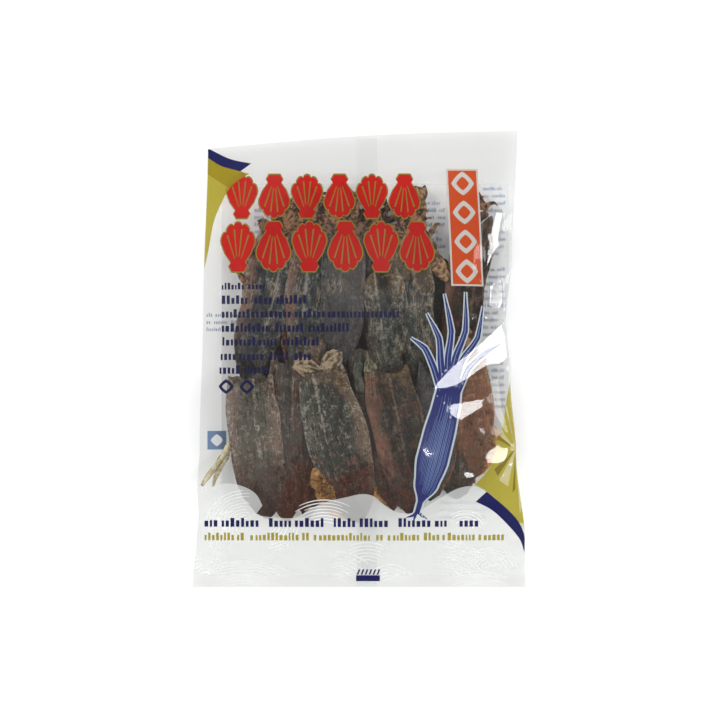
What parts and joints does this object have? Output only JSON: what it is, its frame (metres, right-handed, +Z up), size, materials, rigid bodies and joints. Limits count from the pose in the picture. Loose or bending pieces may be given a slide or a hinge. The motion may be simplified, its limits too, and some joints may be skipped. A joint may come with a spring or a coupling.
{
  "type": "bag of dried squid",
  "caption": "Clear sealed pillow pack of small whole dried squid, lying on its back, with a flat header and plain colour fields printed on the film.",
  "frame": {"origin": "on the surface that the bag lies on, under the middle of its outline", "axes": "+X to the right of the shown front, +Y towards the top of the bag, +Z up out of the shown front"},
  "size_m": [0.19, 0.26, 0.0276],
  "materials": {
    "packed_squid": "brown dried squid seen through clear glossy film",
    "film": "clear, thin, glossy packing film with soft creases",
    "squid_skin": "dry, wrinkled, mottled grey-brown skin with a dull sheen",
    "squid_arms": "dry, curled, tan and amber arms",
    "ink_gold": "olive-gold printing ink under glossy film",
    "ink_navy": "dark blue printing ink under glossy film",
    "ink_red": "red printing ink under glossy film",
    "ink_orange": "orange printing ink under glossy film",
    "ink_white": "translucent white printing ink under glossy film",
    "ink_blue": "pale blue printing ink on the back film"
  },
  "bodies": {
    "root": {"dried_squid_bag": "packed_squid"}
  },
  "joints": []
}
